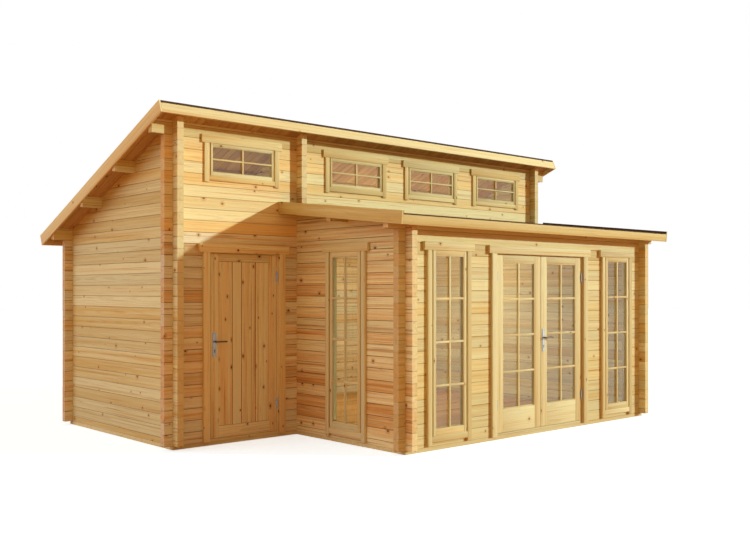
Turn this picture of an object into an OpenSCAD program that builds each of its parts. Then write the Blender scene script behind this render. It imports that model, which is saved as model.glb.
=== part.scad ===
// Log cabin: a tall block with a storage room, and a lower garden room built out in front of it.
// Walls are stacks of logs that lap and cross at the corners, under two single-pitch roofs.

/* [Plan] */
// Width over the outer faces of the end walls
cabin_w = 5740; // [5200:10:6400]
// Left end of the cabin to the outer face of the dividing wall
storage_w = 1550; // [1450:10:1800]
// Depth of the tall block over its walls
block_d = 2450; // [2300:10:2800]
// How far the garden room stands out in front of the block
garden_d = 1750; // [1650:10:2200]

/* [Logs] */
// Log thickness
log_t = 70; // [60:1:80]
// Height of one course of logs
log_h = 120; // [114:1:126]
// Length of a log end past the wall that it crosses
log_end = 95; // [70:1:130]
// Bevel along each log edge
log_bevel = 4; // [3:0.5:8]
// Width of the tongue on top of a log
tongue_w = 24; // [18:1:30]
// Height of the tongue
tongue_h = 9; // [6:0.5:12]
// Clearance of a tongue in its groove
tongue_clearance = 0.6; // [0.4:0.1:1]
// Space left between logs, and between pieces that butt
fit_gap = 0.4; // [0.3:0.1:0.6]
// Height of the foundation beams
sole_h = 40; // [35:1:50]

/* [Roofs] */
// Rise of the clerestory wall, from the lower deck to the upper deck
clerestory_rise = 775; // [740:1:860]
// Pitch of the upper roof, falling to the back
upper_pitch = 22.2; // [18:0.1:24]
// Underside of the lower deck over the garden room's front face
lower_h = 2329; // [2310:1:2380]
// Pitch of the lower roof, falling to the front
lower_pitch = 6.5; // [4:0.1:7]
// Overhang at both ends of each roof
side_overhang = 250; // [200:5:300]
// Overhang of the upper roof along its slope, at the front
upper_front_overhang = 214; // [190:1:260]
// Overhang of the upper roof along its slope, at the back
upper_back_overhang = 285; // [240:1:340]
// Overhang of the lower roof along its slope
lower_overhang = 215; // [190:1:280]
// Thickness of the roof boards
deck_t = 19; // [16:1:22]
// Thickness of the roofing felt
felt_t = 4; // [3:0.5:6]
// Thickness of barge boards and fascias
trim_t = 20; // [18:1:24]
// Height of the barge boards
barge_h = 130; // [120:1:150]
// Height of the barge boards above the felt, upper roof
upper_upstand = 51; // [40:1:60]
// Height of the barge boards above the felt, lower roof
lower_upstand = 26; // [20:1:40]
// Step from the top of a barge board down to a high-side fascia
fascia_step = 25; // [15:1:30]
// Thickness of the strip that carries the lower roof at the clerestory
ledger_t = 45; // [36:1:60]
// Height of that strip
ledger_h = 95; // [80:1:110]

/* [Tall windows] */
// Clear width between the linings
tall_w = 486; // [440:2:520]
// Lower ends of the upright casing boards
tall_z = 53; // [48:1:80]
// Top of the sill board above those ends
tall_sill_h = 92; // [80:1:105]
// How far those ends reach below the sill board
tall_foot = 33; // [20:1:40]
// Underside of the header boards, below the lower deck
tall_drop = 324; // [300:1:360]
// Shares of the spare front width, from the dividing wall past the windows and the doorway to the right wall
front_gaps = [17, 24, 21, 16]; // [5:1:30]
// Middle of the side window, measured forward from the block
side_window_y = 864; // [800:1:900]

/* [Clerestory windows] */
// Clear width between the linings
small_w = 788; // [700:2:850]
// Lower ends of the upright casing boards, above the lower deck
small_lift = 194; // [180:1:230]
// Top of the sill board above those ends
small_sill_h = 67; // [55:1:80]
// How far those ends reach below the sill board
small_foot = 17; // [10:1:24]
// Underside of the header boards, below the upper deck
small_drop = 178; // [150:1:190]
// Middle of the window over the storage door
storage_window_x = 830; // [800:1:900]
// Shares of the spare width beside and between the windows over the garden room
small_gaps = [30, 25, 24, 24]; // [5:1:40]

/* [Joinery] */
// Thickness of window linings
lining_t = 20; // [16:1:26]
// Lap of a window's casing boards over its linings, which leaves the rest of a lining's edge bare
casing_lap = 2; // [1:0.5:6]
// Thickness of the casing boards
casing_t = 32; // [26:1:36]
// Thickness of the small windows' casing boards
small_casing_t = 18; // [15:1:24]
// Width of the doors' casing boards
casing_w = 80; // [70:1:95]
// Width of the tall windows' casing boards
tall_casing_w = 58; // [50:1:70]
// Width of the small windows' casing boards
small_casing_w = 60; // [50:1:70]
// Height of the header boards
header_h = 86; // [70:1:90]
// Overhang of a header board past the casing
header_ear = 48; // [30:1:60]
// Overhang of a small window's header board past the casing
small_ear = 32; // [20:1:45]
// How far a header board stands in front of the casing
header_lip = 4; // [2:1:8]
// How far a sash stands behind the front of its casing
sash_recess = 3; // [2:1:8]
// Width of the window sash members
sash_w = 33; // [28:1:40]
// Thickness of the sashes
sash_t = 46; // [42:1:52]
// Height of the tall sashes' bottom rail
sash_rail = 64; // [50:1:75]
// Height of the tall sashes' top rail
sash_head = 48; // [36:1:55]
// Width of the small sashes' members
small_sash_w = 18; // [15:1:24]
// Height of the small sashes' bottom rail
small_sash_rail = 36; // [30:1:45]
// Height of the small sashes' top rail
small_sash_head = 30; // [24:1:36]
// Glass thickness
glass_t = 4; // [3:0.5:6]

/* [Doors] */
// Width of the storage door leaf
storage_leaf_w = 829; // [780:1:860]
// Middle of the storage door
storage_door_x = 857; // [840:1:880]
// Width of one garden door leaf
garden_leaf_w = 756; // [720:1:790]
// Bottom of the door leaves
leaf_z = 68; // [66:1:75]
// Top of the door leaves, below the lower deck
leaf_drop = 344; // [330:1:380]
// Thickness of the door leaves
leaf_t = 40; // [36:1:44]
// Gap around the door leaves
leaf_gap = 5; // [5:0.5:7]
// Gap between the two garden leaves
meeting_gap = 8; // [7:0.5:10]
// Width of the door stiles
stile_w = 104; // [95:1:115]
// Height of the top rails
top_rail = 79; // [70:1:90]
// Height of the garden doors' bottom rail
kick_rail = 253; // [220:1:280]
// Height of the storage door's bottom rail
bottom_rail = 120; // [100:1:140]
// Width of the storage door's stiles
storage_stile_w = 95; // [88:1:110]
// Thickness of the storage door's boarded panel
panel_t = 22; // [18:1:26]
// Thickness of the door jambs
jamb_t = 40; // [36:1:46]
// Strip of jamb left bare beside the casing
jamb_reveal = 18; // [15:1:22]
// Width of the stops behind the leaves
stop_w = 15; // [12:1:18]
// Height of a door's header board above the top of its leaves
header_lift = 12; // [10:1:20]

/* [Hardware] */
// Radius of the hinge barrels
barrel_r = 7; // [6:0.5:8]
// Length of a hinge barrel
barrel_l = 110; // [90:2:130]
// Radius of the hinge pins
pin_r = 4; // [3.5:0.1:4.5]
// Running clearance at pins and spindles, on the radius
pin_clearance = 0.05; // [0.03:0.01:0.08]
// Distance of the hinge axis in front of the leaves
barrel_out = 9; // [8.5:0.1:11]
// Radius of the hinge shanks
shank_r = 3; // [2.5:0.1:3.5]
// Depth of the hinge shanks from the axis
shank_l = 34; // [28:1:40]
// Middle of the lower hinges
hinge_low = 372; // [340:2:420]
// Middle of the upper hinges, below the top of the leaf
hinge_drop = 231; // [180:1:280]
// Height of the lever spindles
lever_z = 1070; // [1000:5:1100]
// Distance of the spindles from the edge of the leaf
lever_inset = 42; // [40:1:48]
// Radius of the spindles
spindle_r = 8; // [7:0.5:9]
// Length of the lever grips
grip_l = 122; // [100:1:140]
// Radius of the lever grips
grip_r = 8; // [7:0.5:9]
// Distance from the leaf to the middle of a grip
grip_out = 48; // [44:1:55]
// Width of the handle plates
plate_w = 44; // [38:1:48]
// Height of the handle plates
plate_h = 250; // [220:1:270]
// Thickness of the handle plates
plate_t = 6; // [4:0.5:8]
// Height of the spindle above the middle of its plate
plate_drop = 30; // [0:1:40]

/* [Floor] */
// Thickness of the floor boards
floor_t = 22; // [20:1:25]
// Width of the floor joists
joist_w = 60; // [45:1:70]
// Spacing of the floor joists
joist_spacing = 560; // [480:10:640]
// Gap between the floor and the walls
floor_gap = 6; // [4:1:10]

/* [Hidden] */
$fn = 48;

big = 20000;
upper_len = block_d / cos(upper_pitch);
lower_len = garden_d / cos(lower_pitch);
lower_wall_h = lower_h + garden_d * tan(lower_pitch);
upper_h = lower_wall_h + clerestory_rise;
upper_barge_top = deck_t + felt_t + upper_upstand;
lower_barge_top = deck_t + felt_t + lower_upstand;
upper_back_y = upper_len + upper_back_overhang;
lower_front_y = -lower_len - lower_overhang;
// Outermost points of the roofs, front and back, in the cabin's own plan
front_edge = lower_front_y * cos(lower_pitch) - lower_barge_top * sin(lower_pitch);
back_edge = upper_back_y * cos(upper_pitch) + upper_barge_top * sin(upper_pitch);
mid_y = (front_edge + back_edge) / 2;

// Courses of the walls that run along the front start on the sole, the others half a log lower
upper_courses = ceil((upper_h - sole_h - log_h / 2) / log_h);
clerestory_first = floor((lower_wall_h - sole_h - log_h * 2) / log_h);
clerestory_z = sole_h + clerestory_first * log_h;
back_top = upper_h - block_d * tan(upper_pitch);
back_courses = floor((back_top - sole_h - log_h / 4) / log_h) + 1;
garden_courses = floor((lower_h - sole_h - log_h / 4) / log_h) + 1;

leaf_top = lower_h - leaf_drop;
hinge_high = leaf_top - hinge_drop;
tall_top = lower_h - tall_drop;
tall_sill = tall_z + tall_sill_h;
lining_reveal = lining_t - casing_lap;
small_z = lower_wall_h + small_lift;
small_top = upper_h - small_drop;
small_sill = small_z + small_sill_h;
storage_open_w = storage_leaf_w + leaf_gap * 2;
garden_open_w = garden_leaf_w * 2 + leaf_gap * 2 + meeting_gap;
door_open_top = leaf_top + leaf_gap;
// Doorways are cut up to the next joint between courses, and their head jambs fill the rest
door_head = sole_h + ceil((door_open_top + jamb_t - sole_h) / log_h) * log_h;
floor_z = sole_h;
threshold_top = leaf_z - leaf_gap;

// Windows and doorway share the front between the end walls' inner faces
room_x0 = storage_w + log_t;
room_w = cabin_w - log_t - room_x0;
tall_total = tall_w + 2 * (lining_reveal + tall_casing_w + header_ear);
door_total = garden_open_w + 2 * (jamb_reveal + casing_w + header_ear);
front_share = (room_w - 2 * tall_total - door_total) / sum(front_gaps);
left_window_x = room_x0 + front_gaps[0] * front_share + tall_total / 2;
front_mid = left_window_x + (tall_total + door_total) / 2 + front_gaps[1] * front_share;
right_window_x = front_mid + (door_total + tall_total) / 2 + front_gaps[2] * front_share;
small_total = small_w + 2 * (lining_reveal + small_casing_w + small_ear);
small_share = (room_w - 3 * small_total) / sum(small_gaps);
small_step = [for (i = [0 : 2]) sum([for (k = [0 : i]) small_gaps[k]]) * small_share + i * small_total];
small_windows = [storage_window_x, for (step = small_step) room_x0 + step + small_total / 2];
hinge_heights = [hinge_low, hinge_high];
purlin_rows = [1 / 3, 2 / 3];

pine = [0.86, 0.68, 0.38];
pale_pine = [0.92, 0.78, 0.5];
felt_colour = [0.16, 0.13, 0.12];
glass_colour = [0.62, 0.68, 0.7, 0.35];
steel = [0.62, 0.63, 0.64];

function sum(list, i = 0) = i == len(list) ? 0 : list[i] + sum(list, i + 1);
function course_x_z(i) = sole_h + i * log_h;
function course_y_z(j) = sole_h + (j - 0.5) * log_h;
// Top of an opening's cut in the course at z: a log with a quarter or less left over it is cut through
function cut_top(z, top) = top > z + log_h * 3 / 4 ? z + log_h * 2 : top;

// Frames

module cabin() {
    translate([-cabin_w / 2, -mid_y, 0])
        children();
}

module upper_frame() {
    translate([0, 0, upper_h])
        rotate([-upper_pitch, 0, 0])
            children();
}

module lower_frame() {
    translate([0, 0, lower_wall_h])
        rotate([lower_pitch, 0, 0])
            children();
}

module front_face(x) {
    translate([x, -garden_d, 0])
        children();
}

module block_face(x) {
    translate([x, 0, 0])
        children();
}

module side_face(x, y) {
    translate([x, y, 0])
        rotate([0, 0, -90])
            children();
}

module each_tall_window() {
    for (x = [left_window_x, right_window_x])
        front_face(x)
            children();
    side_face(storage_w, -side_window_y)
        children();
}

module each_small_window() {
    for (x = small_windows)
        block_face(x)
            children();
}

// Box from its two opposite corners
module block(a, b) {
    translate(a)
        cube(b - a);
}

// Logs

// Bevelled log with a tongue on top and a groove below
module log_section(height) {
    c = log_bevel;
    mid = log_t / 2;
    tongue = tongue_w / 2;
    groove = tongue + tongue_clearance;
    depth = tongue_h + tongue_clearance;
    polygon([[c, 0], [mid - groove, 0], [mid - groove, depth], [mid + groove, depth], [mid + groove, 0],
        [log_t - c, 0], [log_t, c], [log_t, height - c], [log_t - c, height],
        [mid + tongue, height], [mid + tongue, height + tongue_h], [mid - tongue, height + tongue_h],
        [mid - tongue, height], [c, height], [0, height - c], [0, c]]);
}

// Bevelled beam
module beam_section(height) {
    c = log_bevel;
    polygon([[c, 0], [log_t - c, 0], [log_t, c], [log_t, height - c],
        [log_t - c, height], [c, height], [0, height - c], [0, c]]);
}

module beam_along_x(x0, x1, z, height) {
    translate([x0, 0, z])
        rotate([90, 0, 90])
            linear_extrude(x1 - x0)
                beam_section(height);
}

module log_along_x(x0, x1, z, height) {
    translate([x0, 0, z])
        rotate([90, 0, 90])
            linear_extrude(x1 - x0)
                log_section(height);
}

module log_along_y(y0, y1, z, height) {
    translate([0, y1, z])
        rotate([90, 0, 0])
            linear_extrude(y1 - y0)
                log_section(height);
}

// Cuts a log to half its height where another wall crosses it, leaving the middle
module lap_cut(z) {
    low = [-fit_gap, -fit_gap];
    high = [log_t + fit_gap, log_t + fit_gap];
    quarter = log_h / 4;
    block([each low, z - quarter], [each high, z + quarter]);
    block([each low, z + 3 * quarter - fit_gap], [each high, z + 2 * log_h]);
}

// One course along the front, crossed by walls at the given places
module course_x(x0, x1, i, crossings) {
    z = course_x_z(i);
    difference() {
        log_along_x(x0, x1, z, log_h - fit_gap);
        for (x = crossings)
            translate([x, 0, 0])
                lap_cut(z);
    }
}

// One course from front to back: the lowest is half a log on the sole. A crossing is [place, lowest height]
module course_y(y0, y1, j, crossings) {
    z = course_y_z(j);
    low = max(z, sole_h + fit_gap);
    difference() {
        log_along_y(y0, y1, low, z + log_h - fit_gap - low);
        for (c = crossings)
            if (z + log_h > c[1])
                translate([0, c[0], 0])
                    lap_cut(z);
    }
}

module above_upper() {
    upper_frame()
        translate([-big / 2, -big / 2, -fit_gap])
            cube([big, big, big / 4]);
}

module above_lower() {
    lower_frame()
        translate([-big / 2, -big / 2, -fit_gap])
            cube([big, big, big / 4]);
}

// Purlins

// Rows of the upper purlins between the block's front and back walls
function upper_purlin_y(k) = k * (block_d - log_t);
function upper_purlin_top(k) = upper_h - upper_purlin_y(k) * tan(upper_pitch);
function lower_purlin_y() = -garden_d / 2;
function lower_purlin_top() = lower_wall_h + (lower_purlin_y() + log_t) * tan(lower_pitch);

// Space that the purlins take in the walls that carry them
module purlin_pockets() {
    for (k = purlin_rows)
        translate([-big / 2, upper_purlin_y(k) - fit_gap, upper_purlin_top(k) - log_h - fit_gap])
            cube([big, log_t + 2 * fit_gap, log_h * 2]);
}

module lower_purlin_pocket() {
    translate([-big / 2, lower_purlin_y() - fit_gap, lower_purlin_top() - log_h - fit_gap])
        cube([big, log_t + 2 * fit_gap, log_h * 2]);
}

// Openings cut through the course that starts at z

module tall_opening(z) {
    side = tall_w / 2 + lining_t + fit_gap;
    top = tall_top + lining_t + fit_gap;
    block([-side, -log_t, tall_sill - lining_t - fit_gap], [side, log_t * 2, cut_top(z, top)]);
}

module small_opening(z) {
    side = small_w / 2 + lining_t + fit_gap;
    top = small_top + lining_t + fit_gap;
    block([-side, -log_t, small_sill - lining_t - fit_gap], [side, log_t * 2, cut_top(z, top)]);
}

module door_opening(width, z) {
    side = width / 2 + jamb_t + fit_gap;
    block([-side, -log_t, 0], [side, log_t * 2, cut_top(z, door_head - fit_gap / 2)]);
}

// Ground and floor

module foundation_beams() {
    color(pine) {
        block([0, block_d - log_t, 0], [cabin_w, block_d, sole_h]);
        block([storage_w, -garden_d, 0], [cabin_w, -garden_d + log_t, sole_h]);
        block([log_t + fit_gap, 0, 0], [storage_w - fit_gap, log_t, sole_h]);
        block([0, 0, 0], [log_t, block_d - log_t - fit_gap, sole_h]);
        for (x = [storage_w, cabin_w - log_t])
            block([x, -garden_d + log_t + fit_gap, 0], [x + log_t, block_d - log_t - fit_gap, sole_h]);
    }
}

// Joists from side to side of a room
module joists(x0, x1, y0, y1) {
    count = ceil((y1 - y0 - joist_w) / joist_spacing);
    for (i = [0 : count]) {
        y = y0 + i * (y1 - y0 - joist_w) / count;
        block([x0, y, 0], [x1, y + joist_w, sole_h - fit_gap]);
    }
}

module floor_joists() {
    color(pine) {
        joists(log_t + fit_gap, storage_w - fit_gap, log_t + fit_gap, block_d - log_t - fit_gap);
        joists(storage_w + log_t + fit_gap, cabin_w - log_t - fit_gap,
            -garden_d + log_t + fit_gap, block_d - log_t - fit_gap);
    }
}

module storage_floor() {
    color(pine)
        block([log_t + floor_gap, log_t + floor_gap, floor_z],
            [storage_w - floor_gap, block_d - log_t - floor_gap, floor_z + floor_t]);
}

module garden_room_floor() {
    color(pine)
        block([storage_w + log_t + floor_gap, -garden_d + log_t + floor_gap, floor_z],
            [cabin_w - log_t - floor_gap, block_d - log_t - floor_gap, floor_z + floor_t]);
}

// Walls

module left_wall() {
    color(pine)
        difference() {
            for (j = [0 : upper_courses])
                course_y(-log_end, block_d + log_end, j, [[0, 0], [block_d - log_t, 0]]);
            above_upper();
            purlin_pockets();
        }
}

// Wall that carries on from the block to the front of the garden room
module long_wall(crossings, windows = []) {
    difference() {
        for (j = [0 : upper_courses])
            difference() {
                course_y(-garden_d - log_end, block_d + log_end, j, crossings);
                for (y = windows)
                    side_face(0, y)
                        tall_opening(course_y_z(j));
            }
        above_upper();
        intersection() {
            above_lower();
            block([-log_t, -garden_d * 2, 0], [log_t * 2, -log_end, big / 4]);
        }
        lower_slab();
        purlin_pockets();
        lower_purlin_pocket();
    }
}

// Space of the lower roof's boards and felt, under the log ends that stand over them
module lower_slab() {
    lower_frame()
        translate([-big / 2, -lower_len, -fit_gap])
            cube([big, lower_len - fit_gap, deck_t + felt_t + 2 * fit_gap]);
}

module right_wall() {
    color(pine)
        translate([cabin_w - log_t, 0, 0])
            long_wall([[-garden_d, 0], [0, clerestory_z], [block_d - log_t, 0]]);
}

module dividing_wall() {
    color(pine)
        translate([storage_w, 0, 0])
            long_wall([[-garden_d, 0], [0, 0], [block_d - log_t, 0]], [-side_window_y]);
}

module back_wall() {
    color(pine)
        translate([0, block_d - log_t, 0])
            for (i = [0 : back_courses - 2])
                course_x(-log_end, cabin_w + log_end, i, [0, storage_w, cabin_w - log_t]);
}

module storage_front_wall() {
    color(pine)
        for (i = [0 : clerestory_first - 1])
            difference() {
                course_x(-log_end, storage_w + log_t, i, [0, storage_w]);
                block_face(storage_door_x)
                    door_opening(storage_open_w, course_x_z(i));
            }
}

module clerestory_wall() {
    color(pale_pine)
        for (i = [clerestory_first : upper_courses - 2])
            difference() {
                course_x(-log_end, cabin_w + log_end, i, [0, storage_w, cabin_w - log_t]);
                each_small_window()
                    small_opening(course_x_z(i));
                block_face(storage_door_x)
                    door_opening(storage_open_w, course_x_z(i));
            }
}

module garden_front_wall() {
    color(pale_pine)
        for (i = [0 : garden_courses - 2])
            difference() {
                translate([0, -garden_d, 0])
                    course_x(storage_w - log_end, cabin_w + log_end, i, [storage_w, cabin_w - log_t]);
                for (x = [left_window_x, right_window_x])
                    front_face(x)
                        tall_opening(course_x_z(i));
                front_face(front_mid)
                    door_opening(garden_open_w, course_x_z(i));
            }
}

// Roofs

// Long logs over the front and back walls, and the purlins between them
module upper_purlins() {
    x0 = trim_t + fit_gap - side_overhang;
    x1 = cabin_w - x0;
    color(pine)
        difference() {
            union() {
                difference() {
                    roof_plate(x0, x1, upper_courses - 1, [0, storage_w, cabin_w - log_t]);
                    each_small_window()
                        small_opening(course_x_z(upper_courses - 1));
                }
                translate([0, block_d - log_t, 0])
                    roof_plate(x0, x1, back_courses - 1, [0, storage_w, cabin_w - log_t]);
                for (k = purlin_rows)
                    translate([0, upper_purlin_y(k), 0])
                        beam_along_x(x0, x1, upper_purlin_top(k) - log_h, log_h);
            }
            above_upper();
        }
}

// Top log of a wall, tall enough to be planed to the roof
module roof_plate(x0, x1, i, crossings) {
    z = course_x_z(i);
    difference() {
        log_along_x(x0, x1, z, log_h * 1.5);
        for (x = crossings)
            translate([x, 0, 0])
                lap_cut(z);
    }
}

module lower_purlins() {
    x0 = storage_w - side_overhang + trim_t + fit_gap;
    x1 = cabin_w + side_overhang - trim_t - fit_gap;
    color(pine)
        difference() {
            union() {
                translate([0, -garden_d, 0])
                    roof_plate(x0, x1, garden_courses - 1, [storage_w, cabin_w - log_t]);
                translate([0, lower_purlin_y(), 0])
                    beam_along_x(x0, x1, lower_purlin_top() - log_h, log_h);
                translate([0, -ledger_t - fit_gap, 0])
                    block([storage_w + log_t + fit_gap, 0, lower_wall_h - ledger_h],
                        [cabin_w - log_t - fit_gap, ledger_t, lower_wall_h]);
            }
            above_lower();
        }
}

// Boards of a roof between its edge boards, in the roof's own frame
module deck(x0, x1, y0, y1) {
    block([x0 + trim_t + fit_gap, y0, 0], [x1 - trim_t - fit_gap, y1, deck_t]);
}

module upper_roof_deck() {
    color(pine)
        upper_frame()
            deck(-side_overhang, cabin_w + side_overhang,
                -upper_front_overhang + trim_t + fit_gap, upper_back_y - trim_t - fit_gap);
}

module lower_roof_deck() {
    color(pine)
        lower_frame()
            deck(storage_w - side_overhang, cabin_w + side_overhang,
                lower_front_y + trim_t + fit_gap, -fit_gap);
}

// Felt on the boards, turned up against the edge boards at both ends
module felt(x0, x1, y0, y1, upstand) {
    z0 = deck_t + fit_gap;
    z1 = deck_t + felt_t;
    xa = x0 + trim_t + fit_gap;
    xb = x1 - trim_t - fit_gap;
    block([xa, y0, z0], [xb, y1, z1]);
    block([xa, y0, z1 + fit_gap], [xa + felt_t, y1, z1 + upstand]);
    block([xb - felt_t, y0, z1 + fit_gap], [xb, y1, z1 + upstand]);
}

// At the front the felt turns up behind the fascia, and an edge strip covers both
module upper_roof_felt() {
    x0 = trim_t + felt_t + 2 * fit_gap - side_overhang;
    x1 = cabin_w - x0;
    y0 = -upper_front_overhang + trim_t + fit_gap;
    fascia_top = upper_barge_top - fascia_step;
    color(felt_colour)
        upper_frame() {
            felt(-side_overhang, cabin_w + side_overhang, y0, upper_back_y, upper_upstand);
            block([x0, y0, deck_t + felt_t + fit_gap], [x1, y0 + felt_t, fascia_top]);
            block([x0, -upper_front_overhang, fascia_top + fit_gap],
                [x1, y0 + felt_t, upper_barge_top - fit_gap]);
        }
}

module lower_roof_felt() {
    color(felt_colour)
        lower_frame()
            difference() {
                felt(storage_w - side_overhang, cabin_w + side_overhang,
                    lower_front_y, -fit_gap, lower_upstand);
                for (x = [storage_w, cabin_w - log_t])
                    block([x, -log_end, deck_t + felt_t], [x + log_t, 0, deck_t * 2]);
            }
}

module edge_boards(x0, x1, y0, y1, top) {
    for (x = [x0, x1 - trim_t])
        block([x, y0, top - barge_h], [x + trim_t, y1, top]);
}

module upper_barge_boards() {
    color(pale_pine)
        upper_frame()
            edge_boards(-side_overhang, cabin_w + side_overhang,
                -upper_front_overhang, upper_back_y, upper_barge_top);
}

// The boards end against the block's front wall
module lower_barge_boards() {
    color(pale_pine)
        difference() {
            lower_frame()
                edge_boards(storage_w - side_overhang, cabin_w + side_overhang,
                    lower_front_y, log_t, lower_barge_top);
            block([-cabin_w, -fit_gap, 0], [2 * cabin_w, 2 * log_t, upper_h]);
        }
}

module fascia(x0, x1, y, bottom, top) {
    block([x0 + trim_t + fit_gap, y, bottom], [x1 - trim_t - fit_gap, y + trim_t, top]);
}

module upper_fascias() {
    bottom = upper_barge_top - barge_h;
    color(pale_pine)
        upper_frame() {
            fascia(-side_overhang, cabin_w + side_overhang, -upper_front_overhang, bottom,
                upper_barge_top - fascia_step);
            fascia(-side_overhang, cabin_w + side_overhang, upper_back_y - trim_t, bottom, deck_t);
        }
}

module lower_fascia() {
    color(pale_pine)
        lower_frame()
            fascia(storage_w - side_overhang, cabin_w + side_overhang, lower_front_y,
                lower_barge_top - barge_h, deck_t);
}

// Windows: the middle of the opening is at x = 0 and the wall's outer face at y = 0

// Linings in the wall, and in front of it two casing boards, a sill board between them and a header board
module window_frame(w, low, foot, sill, top, casing, thickness, ear) {
    half = w / 2;
    outer = half + lining_t;
    inner = half + lining_reveal;
    for (side = [-1, 1]) {
        x = side * (half + lining_t / 2) - lining_t / 2;
        block([x, 0, sill + fit_gap], [x + lining_t, log_t, top - fit_gap]);
        c = side * (inner + casing / 2) - casing / 2;
        block([c, -thickness - fit_gap, low], [c + casing, -fit_gap, top]);
    }
    block([-outer, 0, sill - lining_t], [outer, log_t, sill]);
    block([-outer, 0, top], [outer, log_t, top + lining_t]);
    block([-inner + fit_gap, -thickness - fit_gap, low + foot], [inner - fit_gap, -fit_gap, sill]);
    header(inner + casing + ear, top + fit_gap, thickness);
}

// Board over an opening, in front of casing boards of the given thickness
module header(half, z, thickness) {
    block([-half, -thickness - header_lip - fit_gap, z], [half, -fit_gap, z + header_h]);
}

// Moves a sash to its place behind the front of a casing
module sash_face(thickness) {
    translate([0, sash_recess - thickness, 0])
        children();
}

module window_sash(w, sill, top, member, rail, head) {
    x0 = w / 2 - fit_gap;
    x1 = x0 - member;
    z0 = sill + fit_gap;
    z1 = top - fit_gap;
    for (side = [-1, 1])
        block([min(side * x0, side * x1), 0, z0], [max(side * x0, side * x1), sash_t, z1]);
    block([-x1 + fit_gap, 0, z0], [x1 - fit_gap, sash_t, z0 + rail]);
    block([-x1 + fit_gap, 0, z1 - head], [x1 - fit_gap, sash_t, z1]);
}

module window_pane(w, sill, top, member, rail, head) {
    x = w / 2 - member - 2 * fit_gap;
    y = (sash_t - glass_t) / 2;
    block([-x, y, sill + rail + 2 * fit_gap], [x, y + glass_t, top - head - 2 * fit_gap]);
}

module clerestory_window_frames() {
    color(pale_pine)
        each_small_window()
            window_frame(small_w, small_z, small_foot, small_sill, small_top,
                small_casing_w, small_casing_t, small_ear);
}

module clerestory_window_sashes() {
    color(pale_pine)
        each_small_window()
            sash_face(small_casing_t)
                window_sash(small_w, small_sill, small_top, small_sash_w, small_sash_rail, small_sash_head);
}

module clerestory_window_glass() {
    color(glass_colour)
        each_small_window()
            sash_face(small_casing_t)
                window_pane(small_w, small_sill, small_top, small_sash_w, small_sash_rail, small_sash_head);
}

module tall_window_frames() {
    color(pale_pine)
        each_tall_window()
            window_frame(tall_w, tall_z, tall_foot, tall_sill, tall_top,
                tall_casing_w, casing_t, header_ear);
}

module tall_window_sashes() {
    color(pale_pine)
        each_tall_window()
            sash_face(casing_t)
                window_sash(tall_w, tall_sill, tall_top, sash_w, sash_rail, sash_head);
}

module tall_window_glass() {
    color(glass_colour)
        each_tall_window()
            sash_face(casing_t)
                window_pane(tall_w, tall_sill, tall_top, sash_w, sash_rail, sash_head);
}

// Doors: the middle of the doorway is at x = 0 and the wall's outer face at y = 0

module door_frame(w, hinge_sides) {
    half = w / 2;
    outer = half + jamb_t;
    stop_y = leaf_t + leaf_gap;
    for (side = [-1, 1]) {
        jamb = side * (half + jamb_t / 2) - jamb_t / 2;
        difference() {
            block([jamb, 0, sole_h + fit_gap], [jamb + jamb_t, log_t, door_open_top]);
            if (len(search(side, hinge_sides)) > 0)
                each_hinge(side * (half - leaf_gap / 2))
                    translate([0, 0, -barrel_l / 4])
                        shank(side, shank_r + pin_clearance, shank_l + 1);
        }
        stop = side * (half - fit_gap - stop_w / 2) - stop_w / 2;
        block([stop, stop_y, threshold_top + fit_gap], [stop + stop_w, log_t, door_open_top - fit_gap]);
        c = side * (half + jamb_reveal + casing_w / 2) - casing_w / 2;
        block([c, -casing_t - fit_gap, sole_h], [c + casing_w, -fit_gap, leaf_top + header_lift]);
    }
    block([-outer, 0, door_open_top + fit_gap], [outer, log_t, door_head - fit_gap]);
    block([-half + stop_w + 2 * fit_gap, stop_y, door_open_top - stop_w],
        [half - stop_w - 2 * fit_gap, log_t, door_open_top]);
    block([-half + fit_gap, 0, sole_h + fit_gap], [half - fit_gap, log_t, threshold_top]);
    header(half + jamb_reveal + casing_w + header_ear, leaf_top + header_lift + fit_gap, casing_t);
}

// Two stiles with a rail at the top and at the bottom
module leaf_frame(x0, w, stile, top, bottom) {
    for (x = [x0, x0 + w - stile])
        block([x, 0, leaf_z], [x + stile, leaf_t, leaf_top]);
    block([x0 + stile + fit_gap, 0, leaf_top - top], [x0 + w - stile - fit_gap, leaf_t, leaf_top]);
    block([x0 + stile + fit_gap, 0, leaf_z], [x0 + w - stile - fit_gap, leaf_t, leaf_z + bottom]);
}

// Sheet that fills a leaf between its stiles and rails
module leaf_infill(x0, w, stile, top, bottom, thickness) {
    y = (leaf_t - thickness) / 2;
    block([x0 + stile + fit_gap, y, leaf_z + bottom + fit_gap],
        [x0 + w - stile - fit_gap, y + thickness, leaf_top - top - fit_gap]);
}

// Places at the two hinges on an axis at x
module each_hinge(x) {
    for (z = hinge_heights)
        translate([x, -barrel_out, z])
            children();
}

// Rod from the hinge axis into the wood, to the right for side 1 and to the left for -1
module shank(side, r, length) {
    rotate([0, 0, -45 * side])
        rotate([-90, 0, 0])
            cylinder(r = r, h = length);
}

// Half of a hinge that stays on the jamb, with the pin
module hinge_pin(jamb_side) {
    half = barrel_l / 2;
    translate([0, 0, -half])
        cylinder(r = barrel_r, h = half - fit_gap);
    translate([0, 0, -half])
        cylinder(r = pin_r, h = barrel_l - barrel_r);
    translate([0, 0, -half / 2])
        shank(jamb_side, shank_r, shank_l);
}

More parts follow.
